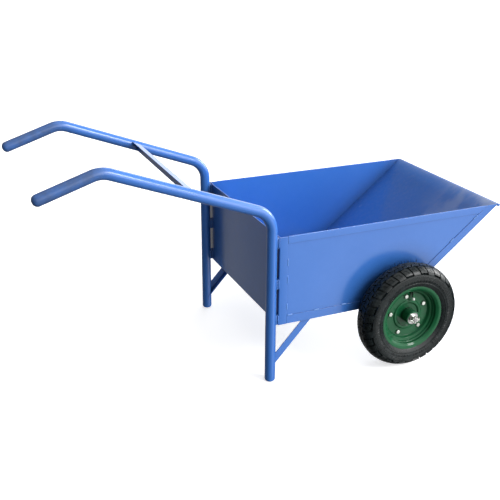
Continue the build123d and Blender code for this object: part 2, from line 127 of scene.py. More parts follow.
def make_edge_group():
    """Edges: how far the rounded normal leans from the face's own, which is most on sharp corners."""
    group = new_group("edge_lines", [("Width", FLOAT, 0.0015), ("Sharpness", FLOAT, 6.0)], [("Edge", FLOAT)])
    w = Wiring(group)
    given, out = w.node("NodeGroupInput"), w.node("NodeGroupOutput")
    rounded = w.node("ShaderNodeBevel", samples=4)
    w.plug(rounded.inputs["Radius"], given.outputs["Width"])
    flat = w.node("ShaderNodeNewGeometry")
    dot = w.node("ShaderNodeVectorMath", operation="DOT_PRODUCT")
    w.plug(dot.inputs[0], rounded.outputs["Normal"])
    w.plug(dot.inputs[1], flat.outputs["True Normal"])
    lean = w.maths("SUBTRACT", 1.0, dot.outputs["Value"])
    w.plug(out.inputs["Edge"], w.times(lean, given.outputs["Sharpness"], clamp=True))
    return group


def make_enamel_group():
    """Sprayed enamel: slow changes of shade, thin and thick coats, orange peel and slightly wavy sheet."""
    group = new_group(
        "sprayed_enamel",
        [
            ("Paint", COLOUR, (0.05, 0.2, 0.6, 1.0)),
            ("Thin Coat", COLOUR, (0.08, 0.25, 0.65, 1.0)),
            ("Gloss", FLOAT, 0.12),
            ("Waviness", FLOAT, 1.0),
            ("Peel", FLOAT, 1.0),
        ],
        [("Color", COLOUR), ("Roughness", FLOAT), ("Height", FLOAT)],
    )
    w = Wiring(group)
    given, out = w.node("NodeGroupInput"), w.node("NodeGroupOutput")
    place = w.node("ShaderNodeTexCoord").outputs["Object"]
    broad = w.noise(place, 3.1, 4.0, 0.6)
    spray = w.noise(place, 38.0, 3.0, 0.6)
    uneven = w.ramp(w.add(w.times(broad, 0.75), w.times(spray, 0.25)), 0.36, 0.64)
    colour = w.mix(w.times(uneven, 0.55), given.outputs["Paint"], given.outputs["Thin Coat"])
    w.plug(out.inputs["Color"], colour)
    dull = w.ramp(w.noise(place, 9.0, 4.0, 0.65), 0.45, 0.75, 0.0, 0.10)
    w.plug(out.inputs["Roughness"], w.add(given.outputs["Gloss"], dull))
    wave = w.times(w.noise(place, 5.5, 1.0, 0.4), given.outputs["Waviness"])
    peel = w.times(w.noise(place, 420.0, 2.0, 0.5), given.outputs["Peel"])
    w.plug(out.inputs["Height"], w.add(w.times(wave, 0.003), w.times(peel, 0.00004)))
    return group


def make_crevice_group():
    """Crevices: how much of the near surroundings is closed off, which is most in seams and recesses; the
    mask sets where painted shade darkens the colour.
    """
    group = new_group("crevice_shade", [("Reach", FLOAT, 0.01), ("Amount", FLOAT, 0.7)], [("Mask", FLOAT)])
    w = Wiring(group)
    given, out = w.node("NodeGroupInput"), w.node("NodeGroupOutput")
    open_share = w.node("ShaderNodeAmbientOcclusion", samples=4)
    w.plug(open_share.inputs["Distance"], given.outputs["Reach"])
    closed = w.ramp(open_share.outputs["AO"], 0.35, 0.95, 1.0, 0.0)
    w.plug(out.inputs["Mask"], w.times(closed, given.outputs["Amount"], clamp=True))
    return group


def make_dust_group():
    """Dust: settles on faces that look up and gathers in patches."""
    group = new_group(
        "settled_dust",
        [
            ("Color", COLOUR, (0.5, 0.5, 0.5, 1.0)),
            ("Amount", FLOAT, 0.1),
            ("Dust", COLOUR, (0.45, 0.43, 0.4, 1.0)),
        ],
        [("Color", COLOUR), ("Mask", FLOAT)],
    )
    w = Wiring(group)
    given, out = w.node("NodeGroupInput"), w.node("NodeGroupOutput")
    place = w.node("ShaderNodeTexCoord").outputs["Object"]
    normal = w.node("ShaderNodeSeparateXYZ")
    w.plug(normal.inputs[0], w.node("ShaderNodeNewGeometry").outputs["Normal"])
    patches = w.ramp(w.noise(place, 60.0, 5.0, 0.7), 0.4, 0.75)
    up = w.ramp(normal.outputs["Z"], -0.2, 1.0)
    mask = w.times(w.times(patches, up), given.outputs["Amount"], clamp=True)
    w.plug(out.inputs["Color"], w.mix(mask, given.outputs["Color"], given.outputs["Dust"]))
    w.plug(out.inputs["Mask"], mask)
    return group


def make_grip_group():
    """Grip shade: a grey, darker painted shade, full at the grip ends and gone further up the tubes; its mask
    also makes the surface duller there.
    """
    group = new_group(
        "grip_painted_shade",
        [
            ("Color", COLOUR, (0.05, 0.2, 0.6, 1.0)),
            ("Shade", COLOUR, (0.04, 0.07, 0.14, 1.0)),
            ("Amount", FLOAT, 0.5),
        ],
        [("Color", COLOUR), ("Mask", FLOAT)],
    )
    w = Wiring(group)
    given, out = w.node("NodeGroupInput"), w.node("NodeGroupOutput")
    place = w.node("ShaderNodeTexCoord").outputs["Object"]
    split = w.node("ShaderNodeSeparateXYZ")
    w.plug(split.inputs[0], place)
    reach = w.ramp(split.outputs["X"], grip_shade_full, grip_shade_end, 1.0, 0.0)
    patches = w.ramp(w.noise(place, 24.0, 5.0, 0.65), 0.3, 0.7, 0.55, 1.0)
    mask = w.times(w.times(reach, patches), given.outputs["Amount"], clamp=True)
    w.plug(out.inputs["Color"], w.mix(mask, given.outputs["Color"], given.outputs["Shade"]))
    w.plug(out.inputs["Mask"], mask)
    return group


def make_reflection_group():
    """Dump reflection: a pale, cloudy painted reflection of the surroundings on the steep dump end, at its
    near corner.
    """
    group = new_group(
        "dump_painted_reflection",
        [
            ("Color", COLOUR, (0.05, 0.2, 0.6, 1.0)),
            ("Scuff", COLOUR, (0.42, 0.52, 0.76, 1.0)),
            ("Amount", FLOAT, 0.6),
        ],
        [("Color", COLOUR)],
    )
    w = Wiring(group)
    given, out = w.node("NodeGroupInput"), w.node("NodeGroupOutput")
    place = w.node("ShaderNodeTexCoord").outputs["Object"]
    split, normal = w.node("ShaderNodeSeparateXYZ"), w.node("ShaderNodeSeparateXYZ")
    w.plug(split.inputs[0], place)
    w.plug(normal.inputs[0], w.node("ShaderNodeNewGeometry").outputs["True Normal"])
    lean = normal.outputs["Z"]
    steep = w.times(w.ramp(lean, 0.6, 0.7), w.ramp(lean, 0.85, 0.9, 1.0, 0.0))
    along_x = w.ramp(split.outputs["X"], *reflection_along)
    corner = w.times(along_x, w.ramp(split.outputs["Y"], *reflection_across, 1.0, 0.0))
    clouds = w.ramp(w.noise(w.stretched(place, (0.6, 1.0, 0.6)), 13.0, 4.0, 0.5), 0.40, 0.60, 0.25, 1.0)
    mask = w.times(w.times(steep, corner), w.times(clouds, given.outputs["Amount"]))
    w.plug(out.inputs["Color"], w.mix(mask, given.outputs["Color"], given.outputs["Scuff"]))
    return group


def make_turned_group():
    """Metal finish: fine scratches, tool marks and a cloudy change of tone in plated or turned metal."""
    group = new_group(
        "metal_finish",
        [
            ("Metal", COLOUR, (0.7, 0.7, 0.7, 1.0)),
            ("Stain", COLOUR, (0.4, 0.38, 0.34, 1.0)),
            ("Roughness", FLOAT, 0.3),
            ("Grain", FLOAT, 900.0),
        ],
        [("Color", COLOUR), ("Roughness", FLOAT), ("Height", FLOAT)],
    )
    w = Wiring(group)
    given, out = w.node("NodeGroupInput"), w.node("NodeGroupOutput")
    place = w.node("ShaderNodeTexCoord").outputs["Object"]
    cloud = w.ramp(w.noise(place, 70.0, 4.0, 0.6), 0.4, 0.75)
    scratch = w.noise(w.stretched(place, (1.0, 0.12, 1.0)), given.outputs["Grain"], 3.0, 0.7)
    w.plug(out.inputs["Color"], w.mix(w.times(cloud, 0.6), given.outputs["Metal"], given.outputs["Stain"]))
    rough = w.add(given.outputs["Roughness"], w.times(cloud, 0.15))
    w.plug(out.inputs["Roughness"], w.add(rough, w.times(scratch, 0.1)))
    w.plug(out.inputs["Height"], w.times(scratch, 0.00004))
    return group


# Where the painted shade at the grips is full and where it ends, and where the painted reflection on the dump
# end grows in, along x and y.
grip_shade_full, grip_shade_end = -0.66, -0.55
reflection_along, reflection_across = (0.42, 0.66), (-0.30, 0.06)

edge_group = make_edge_group()
enamel_group = make_enamel_group()
dust_group = make_dust_group()
crevice_group = make_crevice_group()
metal_group = make_turned_group()
grip_group = make_grip_group()
reflection_group = make_reflection_group()


def start_material(name):
    """A new node material: its wiring, its Principled shader and a Bump node that already feeds it."""
    material = bpy.data.materials.new(name)
    material.use_nodes = True
    tree = material.node_tree
    shader = next(n for n in tree.nodes if n.type == "BSDF_PRINCIPLED")
    w = Wiring(tree)
    bump = w.node("ShaderNodeBump")
    bump.inputs["Strength"].default_value = 1.0
    bump.inputs["Distance"].default_value = 1.0
    tree.links.new(bump.outputs["Normal"], shader.inputs["Normal"])
    return material, w, shader, bump


def place_group(w, group, **values):
    """Puts a group in a material with its own values; a name's underscores stand for spaces."""
    made = w.node("ShaderNodeGroup", node_tree=group)
    for key, value in values.items():
        w.plug(made.inputs[key.replace("_", " ")], value)
    return made


def make_enamel(
    name,
    paint,
    thin,
    edge,
    gloss,
    waviness,
    dust,
    crevice_reach,
    crevice_shade,
    hollow_shade,
    shine,
    film_roughness,
):
    """Glossy enamel: a wet film over sprayed colour, paled along the edges by thin paint and a painted
    highlight, with painted shade in crevices, hollows and at the grip ends, and a painted reflection on the
    dump end.
    The film's strength and the base's own sheen both follow shine."""
    material, w, shader, bump = start_material(name)
    coat = place_group(w, enamel_group, Paint=paint, Thin_Coat=thin, Gloss=gloss, Waviness=waviness)
    lines = place_group(w, edge_group, Width=0.0015, Sharpness=1.6)
    # Paler along the edges: partly thinner paint, partly a painted highlight on the edges.
    pale_and_highlit = w.mix(lines.outputs["Edge"], coat.outputs["Color"], edge)
    # Painted shade: seams, corners and hollows are darkened toward a deep tone of the paint, where shade
    # falls.
    crevice_shading = place_group(w, crevice_group, Reach=crevice_reach, Amount=crevice_shade)
    shade_colour = tuple(0.12 * part for part in paint[:3]) + (1.0,)
    hollow_shading = place_group(w, crevice_group, Reach=hollow_reach, Amount=hollow_shade)
    dark = w.maths("MAXIMUM", crevice_shading.outputs["Mask"], hollow_shading.outputs["Mask"])
    # Painted shade: the grip ends are darkened and greyed, where less light falls on them.
    grip_shaded = place_group(w, grip_group, Color=w.mix(dark, pale_and_highlit, shade_colour), Amount=0.75)
    # Painted reflection: pale clouds of the surroundings' light on the dump end's near corner.
    reflected = place_group(w, reflection_group, Color=grip_shaded.outputs["Color"], Amount=0.7)
    dusty = place_group(w, dust_group, Color=reflected.outputs["Color"], Amount=dust)
    dull = w.add(w.times(dusty.outputs["Mask"], 0.4), w.times(grip_shaded.outputs["Mask"], 0.3))
    w.plug(shader.inputs["Base Color"], dusty.outputs["Color"])
    w.plug(shader.inputs["Roughness"], w.add(coat.outputs["Roughness"], dull))
    w.plug(bump.inputs["Height"], coat.outputs["Height"])
    shader.inputs["IOR"].default_value = 1.0 + 0.5 * shine
    shader.inputs["Coat Weight"].default_value = 0.5 * shine
    shader.inputs["Coat Roughness"].default_value = film_roughness
    return material


def make_rubber(name, colour, pale_and_highlit, roughness):
    """Moulded rubber: a fine pebbled skin, paler dry patches, a painted highlight along its edges and a
    slight sheen.
    """
    material, w, shader, bump = start_material(name)
    place = w.node("ShaderNodeTexCoord").outputs["Object"]
    dry = w.ramp(w.noise(place, 26.0, 5.0, 0.65), 0.4, 0.75)
    lines = place_group(w, edge_group, Width=0.0012, Sharpness=1.2)
    # Paler dry patches, and a painted highlight along the edges.
    pale = w.maths("MAXIMUM", w.times(dry, 0.6), w.times(lines.outputs["Edge"], 0.9))
    skin = w.mix(pale, colour, pale_and_highlit)
    dusty = place_group(w, dust_group, Color=skin, Amount=0.12, Dust=(0.16, 0.15, 0.13, 1.0))
    w.plug(shader.inputs["Base Color"], dusty.outputs["Color"])
    grain = w.noise(place, 900.0, 3.0, 0.6)
    w.plug(shader.inputs["Roughness"], w.ramp(dry, 0.0, 1.0, roughness, roughness + 0.2))
    w.plug(bump.inputs["Height"], w.times(grain, 0.00012))
    shader.inputs["Specular IOR Level"].default_value = 0.38
    return material


def make_metal(name, metal, stain, roughness, grain=900.0):
    """Plated or turned metal, with a painted highlight along its edges."""
    material, w, shader, bump = start_material(name)
    finish = place_group(w, metal_group, Metal=metal, Stain=stain, Roughness=roughness, Grain=grain)
    lines = place_group(w, edge_group, Width=0.0006, Sharpness=2.0)
    # Painted highlight: the edges are mixed toward a pale grey.
    bright = w.mix(w.times(lines.outputs["Edge"], 0.5), finish.outputs["Color"], (0.85, 0.86, 0.85, 1.0))
    w.plug(shader.inputs["Base Color"], bright)
    w.plug(shader.inputs["Roughness"], finish.outputs["Roughness"])
    w.plug(bump.inputs["Height"], finish.outputs["Height"])
    shader.inputs["Metallic"].default_value = 1.0
    return material


def make_plastic(name, colour, stain):
    """Pale moulded plastic with faint mottling and a fine grain."""
    material, w, shader, bump = start_material(name)
    place = w.node("ShaderNodeTexCoord").outputs["Object"]
    mottle = w.ramp(w.noise(place, 300.0, 3.0, 0.6), 0.4, 0.7)
    w.plug(shader.inputs["Base Color"], w.mix(w.times(mottle, 0.3), colour, stain))
    w.plug(shader.inputs["Roughness"], w.ramp(mottle, 0.0, 1.0, 0.25, 0.4))
    w.plug(bump.inputs["Height"], w.times(w.noise(place, 1500.0), 0.00003))
    return material


# How far the painted shade in hollows reaches; it darkens the inner corners of the tray.
hollow_reach = 0.085
blue_enamel = make_enamel(
    "blue_enamel",
    paint=(0.045, 0.185, 0.62, 1.0),
    thin=(0.055, 0.205, 0.66, 1.0),
    edge=(0.11, 0.29, 0.76, 1.0),
    gloss=0.17,
    waviness=1.0,
    dust=0.05,
    crevice_reach=0.006,
    crevice_shade=0.6,
    hollow_shade=0.6,
    shine=1.0,
    film_roughness=0.24,
)
green_enamel = make_enamel(
    "green_enamel",
    paint=(0.010, 0.105, 0.040, 1.0),
    thin=(0.014, 0.135, 0.052, 1.0),
    edge=(0.04, 0.20, 0.09, 1.0),
    gloss=0.10,
    waviness=0.3,
    dust=0.03,
    # Painted shade: the wide crevice reach darkens the hub and the recess round it.
    crevice_reach=0.030,
    crevice_shade=0.85,
    hollow_shade=0.2,
    shine=0.45,
    film_roughness=0.03,
)
tyre_rubber = make_rubber("tyre_rubber", (0.006, 0.010, 0.011, 1.0), (0.030, 0.040, 0.042, 1.0), 0.25)
butyl_rubber = make_rubber("butyl_rubber", (0.02, 0.02, 0.02, 1.0), (0.03, 0.03, 0.03, 1.0), 0.5)
zinc_plate = make_metal("zinc_plate", (0.74, 0.77, 0.72, 1.0), (0.5, 0.5, 0.44, 1.0), 0.24)
turned_steel = make_metal("turned_steel", (0.5, 0.5, 0.5, 1.0), (0.3, 0.28, 0.25, 1.0), 0.35)
bearing_steel = make_metal("bearing_steel", (0.55, 0.55, 0.56, 1.0), (0.3, 0.29, 0.27, 1.0), 0.22)
# Painted highlight: a paler copy of the blue enamel, so the tack welds look lit.
highlit_weld_enamel = make_enamel(
    "highlit_weld_enamel",
    paint=(0.08, 0.24, 0.68, 1.0),
    thin=(0.16, 0.35, 0.78, 1.0),
    edge=(0.25, 0.45, 0.85, 1.0),
    gloss=0.25,
    waviness=0.3,
    dust=0.05,
    crevice_reach=0.003,
    crevice_shade=0.3,
    hollow_shade=0.0,
    shine=1.0,
    film_roughness=0.2,
)
cap_plastic = make_plastic("cap_plastic", (0.78, 0.82, 0.78, 1.0), (0.6, 0.64, 0.58, 1.0))

finish_by_slot = {
    "blue_paint": blue_enamel,
    "green_paint": green_enamel,
    "tyre_rubber": tyre_rubber,
    "tube_rubber": butyl_rubber,
    "zinc": zinc_plate,
    "axle_steel": turned_steel,
    "bearing_steel": bearing_steel,
    "cap_plastic": cap_plastic,
}


def finish_cad_nodes():
    """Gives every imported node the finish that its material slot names."""
    for part in frame["record"]["subparts"]:
        mesh = nodes[part["node"]].data
        mesh.materials.clear()
        mesh.materials.append(finish_by_slot[part["material_slot"]])


finish_cad_nodes()


# === Places taken from the frame ==========================================================
def middle_and_half(node):
    """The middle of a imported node's box and half its size along each axis."""
    low, high = (np.array(corner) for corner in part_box(node))
    return (low + high) / 2, (high - low) / 2


wheel_middle, wheel_half = middle_and_half("tyre_right")
axle_x, wheel_y, axle_z = wheel_middle[0], -wheel_middle[1], wheel_middle[2]
tyre_half_width, tyre_radius = wheel_half[1], wheel_half[2]
flange_radius = middle_and_half("rim_outer_right")[1][2]
hub_radius = middle_and_half("hub_right")[1][2]
leg_middle, leg_half = middle_and_half("foot_cap_right")
leg_x, tube_y, tube_radius = leg_middle[0], -leg_middle[1], leg_half[0]
tray_low, tray_high = (np.array(corner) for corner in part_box("rear_panel"))
tray_rear, half_width, tray_bottom, tray_top = tray_low[0], tray_high[1], tray_low[2], tray_high[2]
bend_x, lip_x = (corner[0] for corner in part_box("dump_panel"))
sheet, side_flange, top_hem, rear_hem = 0.002, 0.030, 0.025, 0.018
seam_gap = 0.0008
slope = math.atan2(tray_top - tray_bottom, lip_x - bend_x)
SIDES = (("right", -1), ("left", 1))


# === Mesh helpers =========================================================================
def grid_quads(rows, columns, close_rows):
    """Quads between neighbours in a grid numbered row by row; columns wrap round, rows may."""
    row = np.arange(rows if close_rows else rows - 1)[:, None]
    column = np.arange(columns)[None, :]
    next_row, next_column = (row + 1) % rows, (column + 1) % columns
    near = (row * columns + column, row * columns + next_column)
    far = (next_row * columns + next_column, next_row * columns + column)
    return np.stack(np.broadcast_arrays(*near, *far), axis=-1).reshape(-1, 4)


def closed_shell(grid, close_rows=False):
    """A grid of points [rows, columns, 3] whose columns wrap round, as (points, quads, end polygons).
    Open ends are closed by one polygon each, and all faces are turned to give a positive volume."""
    rows, columns = grid.shape[:2]
    points = grid.reshape(-1, 3)
    quads = grid_quads(rows, columns, close_rows)
    first, last = np.arange(columns)[::-1], np.arange(columns) + (rows - 1) * columns
    ends = [] if close_rows else [first, last]
    centred = points - points.mean(axis=0)
    a, b, c, d = (centred[quads[:, k]] for k in range(4))
    volume = np.einsum("ij,ij->", a, np.cross(b, c)) + np.einsum("ij,ij->", a, np.cross(c, d))
    for end in ends:
        ring = centred[end]
        volume += np.einsum("j,ij->", ring[0], np.cross(ring[1:-1], ring[2:]))
    if volume < 0:
        quads, ends = quads[:, ::-1], [end[::-1] for end in ends]
    return points, quads, ends


def make_piece(name, shells, finish, body, stands_for=(), crease=40.0):
    """One object from closed shells, smooth except along folds sharper than the crease angle."""
    starts = np.cumsum([0] + [len(points) for points, _, _ in shells[:-1]])
    quads = np.concatenate([faces + start for (_, faces, _), start in zip(shells, starts)])
    ends = [end + start for (_, _, caps), start in zip(shells, starts) for end in caps]
    corners = np.concatenate([quads.ravel(), *ends]).astype(np.int32)
    sizes = np.array([4] * len(quads) + [len(end) for end in ends], dtype=np.int32)
    mesh = bpy.data.meshes.new(name)
    mesh.vertices.add(sum(len(points) for points, _, _ in shells))
    mesh.vertices.foreach_set("co", np.concatenate([s[0] for s in shells]).astype(np.float32).ravel())
    mesh.loops.add(len(corners))
    mesh.loops.foreach_set("vertex_index", corners)
    mesh.polygons.add(len(sizes))
    mesh.polygons.foreach_set("loop_start", (np.cumsum(sizes) - sizes).astype(np.int32))
    mesh.update(calc_edges=True)
    mesh.shade_smooth()
    mesh.set_sharp_from_angle(angle=math.radians(crease))
    mesh.materials.append(finish)
    piece = bpy.data.objects.new(name, mesh)
    bpy.context.scene.collection.objects.link(piece)
    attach(piece, body)
    if stands_for:
        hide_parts(*stands_for)
    return piece


def add_bevel(piece, width, segments=2):
    """A live rounding of a piece's sharp edges."""
    bevel = piece.modifiers.new("rounded_edges", "BEVEL")
    bevel.width = width
    bevel.segments = segments
    bevel.limit_method = "ANGLE"
    bevel.angle_limit = math.radians(40)
    bevel.harden_normals = False
    return piece


def along(curve, count):
    """The same curve with a number of points at equal steps of length."""
    length = np.concatenate([[0], np.cumsum(np.linalg.norm(np.diff(curve, axis=0), axis=1))])
    place = np.linspace(0, length[-1], count)
    return np.stack([np.interp(place, length, curve[:, axis]) for axis in range(curve.shape[1])], axis=1)


def smooth_curve(points, count):
    """A Catmull-Rom curve through the points, sampled at equal steps of length."""
    points = np.asarray(points, float)
    padded = np.vstack([2 * points[0] - points[1], points, 2 * points[-1] - points[-2]])
    t = np.linspace(0, len(points) - 1, 40 * len(points))
    k = np.minimum(t.astype(int), len(points) - 2)
    f = (t - k)[:, None]
    p0, p1, p2, p3 = (padded[k + i] for i in range(4))
    squared, cubed = 2 * p0 - 5 * p1 + 4 * p2 - p3, 3 * p1 - p0 - 3 * p2 + p3
    curve = p1 + 0.5 * ((p2 - p0) * f + squared * f**2 + cubed * f**3)
    return along(curve, count)


def rounded(corners, radius, steps=4, closed=False):
    """A line through the corners with each bend turned into an arc, no larger than its sides allow."""
    corners = np.asarray(corners, float)
    radii = np.broadcast_to(radius, len(corners))
    made = []
    for k, here in enumerate(corners):
        if not closed and k in (0, len(corners) - 1):
            made.append(here[None])
            continue
        back, on = corners[k - 1] - here, corners[(k + 1) % len(corners)] - here
        back_length, on_length = np.linalg.norm(back), np.linalg.norm(on)
        back, on = back / back_length, on / on_length
        half = 0.5 * math.acos(float(np.clip(back @ on, -1, 1)))
        reach = min(radii[k] / math.tan(half), 0.49 * back_length, 0.49 * on_length)
        if half > math.pi / 2 - 0.01 or reach < 1e-6:
            made.append(here[None])
            continue
        bend = reach * math.tan(half)
        centre = here + (back + on) / np.linalg.norm(back + on) * bend / math.cos(math.pi / 2 - half)
        start, end = here + back * reach - centre, here + on * reach - centre
        turn = math.acos(float(np.clip(start @ end / bend**2, -1, 1)))
        share = np.linspace(0, 1, steps + 1)[:, None]
        weights = np.sin((1 - share) * turn), np.sin(share * turn)
        made.append(centre + (weights[0] * start + weights[1] * end) / math.sin(turn))
    return np.concatenate(made)


def circle(radius, steps):
    """Points round a circle."""
    angle = np.arange(steps) / steps * 2 * math.pi
    return radius * np.stack([np.cos(angle), np.sin(angle)], axis=1)


def turned(profile, side, steps=192):
    """A closed profile of (distance out from the wheel's middle, radius) turned about the axle.
    Point = axle + radius * (cos a, 0, sin a), then out along the axle on that side."""
    angle = (np.arange(steps) / steps * 2 * math.pi)[:, None]
    out, radius = profile[:, 0][None, :], profile[:, 1][None, :]
    x, z = axle_x + radius * np.cos(angle), axle_z + radius * np.sin(angle)
    y = np.broadcast_to(side * (wheel_y + out), x.shape)
    return closed_shell(np.stack([x, y, z], axis=-1), close_rows=True)


def carried(path, section, up):
    """A closed section of (across, up) points carried along a path, one section or one per point.
    Point = path + across * (direction x up) + up made square to the path's direction."""
    direction = np.gradient(path, axis=0)
    direction /= np.linalg.norm(direction, axis=1)[:, None]
    up = np.broadcast_to(np.asarray(up, float), direction.shape)
    up = up - np.einsum("ij,ij->i", up, direction)[:, None] * direction
    up /= np.linalg.norm(up, axis=1)[:, None]
    across = np.cross(direction, up)
    section = np.asarray(section, float)
    if section.ndim == 2:
        section = np.broadcast_to(section, (len(path), *section.shape))
    sideways, upwards = section[:, :, 0, None], section[:, :, 1, None]
    grid = path[:, None, :] + sideways * across[:, None, :] + upwards * up[:, None, :]
    return closed_shell(grid)


def between(start, end, rows=2):
    """A closed shell whose rows run straight from one outline of points to another of the same count."""
    share = np.linspace(0, 1, rows)[:, None, None]
    return closed_shell((1 - share) * start[None] + share * end[None])


def step_between(value, low, high):
    """0 below low, 1 above high, and a straight ramp between them."""
    return np.clip((value - low) / (high - low), 0, 1)


# === Tyres ================================================================================
tread_pitches = 36
tread_depth = 0.0065
centre_block_end, shoulder_block_start, block_end = 0.0150, 0.0190, 0.0535
# Each rib on the wall as (place along the half section, width, height).
wall_ribs = (
    (0.0600, 0.0010, 0.0007),
    (0.0645, 0.0010, 0.0007),
    (0.0690, 0.0010, 0.0007),
    (0.0850, 0.0018, 0.0013),
)
carcass = 0.008
hair_turns, hair_count = (76, 108), 15


def tyre_half_section():
    """Half of the tyre's outside from the crown's middle to the bead, as (out, radius), and its length."""
    crown, wall = tyre_half_width - 0.0095, tyre_radius - flange_radius
    half = smooth_curve(
        [
            (0, tyre_radius),
            (0.50 * crown, tyre_radius - 0.0031),
            (0.82 * crown, tyre_radius - 0.0087),
            (crown, tyre_radius - 0.0135),
            (tyre_half_width - 0.0025, flange_radius + 0.66 * wall),
            (tyre_half_width - 0.0001, flange_radius + 0.46 * wall),
            (tyre_half_width - 0.0030, flange_radius + 0.20 * wall),
            (0.0388, flange_radius + 0.0035),
            (0.0342, flange_radius - 0.0035),
            (0.0300, flange_radius - 0.0130),
        ],
        600,
    )
    length = np.concatenate([[0], np.cumsum(np.linalg.norm(np.diff(half, axis=0), axis=1))])
    return half, length


def tyre_shell(side):
    """The tyre: its half section carried round the axle on both sides and raised along its own normal.
    Height = depth * (blocks * (1 - sipes) - 1) over the tread, plus ribs and fine teeth on the wall.
    Blocks are cut by cross grooves that slant, by a middle groove and by a zigzag groove on each side.
    The inside is the same section moved in by the carcass thickness."""
    half, length = tyre_half_section()
    pitch = 2 * math.pi * tyre_radius / tread_pitches
    ramp, cut = 0.0007, 0.0022
    rows = np.unique(
        np.round(
            np.concatenate(
                [
                    [0, 0.0014, 0.0021, 0.0045, 0.0060, 0.0064, 0.0074, 0.0078, 0.0100, 0.0125],
                    [centre_block_end, centre_block_end + ramp],
                    [shoulder_block_start - ramp, shoulder_block_start],
                    [0.0215, 0.0240, 0.0262, 0.0266, 0.0277, 0.0281, 0.0310, 0.0340, 0.0365, 0.0385],
                    [0.0405, 0.0409, 0.0440, 0.0470, 0.0495],
                    [block_end - 0.0012, block_end, block_end + 0.0010],
                    np.arange(0.0565, length[-1], 0.0035),
                    *[rib + width * np.array([-1, -0.5, 0.5, 1]) for rib, width, _ in wall_ribs],
                    [0.0720, 0.0730, 0.0790, 0.0800, length[-1]],
                ]
            ),
            5,
        )
    )
    rows = rows[rows <= length[-1]]
    across = np.concatenate([-rows[::-1], rows[1:]])[:, None]
    s = np.abs(across)

    in_pitch = np.array(
        [0, cut - ramp / 2, cut + ramp / 2, 0.0060, 0.0092, 0.0122, 0.0126, 0.0137, 0.0141]
        + [0.0170, 0.0200, 0.0230, 0.0260, pitch - cut - ramp / 2, pitch - cut + ramp / 2]
    )
    u = (np.arange(tread_pitches)[:, None] * pitch + in_pitch[None, :]).ravel()[None, :]
    local = np.tile(in_pitch, tread_pitches)[None, :]
    even = np.repeat(np.arange(tread_pitches) % 2 == 0, len(in_pitch))[None, :]

    def ring_band(low, high, soft=0.0004):
        return step_between(s, low, low + soft) * (1 - step_between(s, high - soft, high))

    def column_band(low, high, soft=0.0004):
        return step_between(local, low, low + soft) * (1 - step_between(local, high - soft, high))

    # Grid lines slant with the cross grooves and jump half a pitch between rows of blocks.
    outer_row = step_between(s, centre_block_end + ramp, shoulder_block_start - ramp)
    slant = 0.55 * np.minimum(s, centre_block_end) - 0.30 * np.clip(s - shoulder_block_start, 0, 0.030)
    far_half = np.where(across < 0, 0.5 * pitch, 0.0) * step_between(s, 0, 0.0014)
    angle = (u + slant + 0.5 * pitch * outer_row + far_half) / tyre_radius

    # Rows near the side groove wander outwards and back within each pitch.
    window = step_between(s, 0.0064, centre_block_end) * (1 - step_between(s, shoulder_block_start, 0.0262))
    place = np.clip(s + 0.0020 * (4 * np.abs(local / pitch - 0.5) - 1) * window, 0, length[-1])
    tangent = np.gradient(half, axis=0)
    tangent /= np.linalg.norm(tangent, axis=1)[:, None]
    lean_out, lean_up = (np.interp(place, length, values) for values in (-tangent[:, 1], tangent[:, 0]))
    out, radius = (np.interp(place, length, half[:, k]) for k in (0, 1))

    centre_row = step_between(s, 0.0014, 0.0021)
    centre_row = centre_row * (1 - step_between(s, centre_block_end, centre_block_end + ramp))
    short_end = 1 - ~even * step_between(s, 0.0470, 0.0495)
    shoulder_row = step_between(s, shoulder_block_start - ramp, shoulder_block_start)
    shoulder_row = shoulder_row * (1 - step_between(s, block_end - 0.0012, block_end)) * short_end
    blocks = column_band(cut - ramp / 2, pitch - cut + ramp / 2, ramp) * np.maximum(centre_row, shoulder_row)
    sipe_leg = ring_band(0.0262, 0.0409) * column_band(0.0122, 0.0141)
    sipe_foot = ring_band(0.0262, 0.0281) * column_band(0.0122, 0.0260)
    centre_sipe = ring_band(0.0060, 0.0078) * column_band(0.0060, 0.0230)
    sipes = np.maximum(np.maximum(sipe_leg, sipe_foot), centre_sipe)
    on_tread = 1 - step_between(s, 0.0495, block_end + 0.0010)
    height = tread_depth * (blocks * (1 - 0.5 * sipes) - 1) * on_tread
    for rib, width, rise in wall_ribs:
        height = height + rise * (1 - step_between(np.abs(s - rib), width / 2, width))
    teeth = (np.arange(u.size) % 2)[None, :] * ring_band(0.0720, 0.0800, 0.0010)
    height = height + 0.0007 * teeth

    skin_out = np.sign(across) * (out + lean_out * height)
    skin_radius = radius + lean_up * height
    inner = np.linspace(rows[-1] - 0.004, -(rows[-1] - 0.004), 17)[:, None]
    inner_s = np.abs(inner)
    inner_angle = (u + slant[-1] + 0.5 * pitch) / tyre_radius + 0 * inner
    inset = carcass + tread_depth * (1 - step_between(inner_s, 0.03, 0.06))
    inset = inset - 0.003 * step_between(inner_s, 0.09, 0.12)
    inner_out, inner_lean = (np.interp(inner_s, length, values) for values in (half[:, 0], -tangent[:, 1]))
    inner_radius, inner_rise = (np.interp(inner_s, length, values) for values in (half[:, 1], tangent[:, 0]))
    far_share = step_between(-inner, -rows[-1], rows[-1])
    inner_angle = inner_angle + far_share * 0.5 * pitch / tyre_radius
    inside_out = np.sign(inner) * (inner_out - inner_lean * inset)
    inside_radius = inner_radius - inner_rise * inset
    skin_out = np.vstack([skin_out, np.broadcast_to(inside_out, inner_angle.shape)])
    skin_radius = np.vstack([skin_radius, np.broadcast_to(inside_radius, inner_angle.shape)])
    angle = np.vstack([angle, inner_angle])
    x = axle_x + skin_radius * np.cos(angle)
    z = axle_z + skin_radius * np.sin(angle)
    return closed_shell(np.stack([x, side * (wheel_y + skin_out), z], axis=-1), close_rows=True)


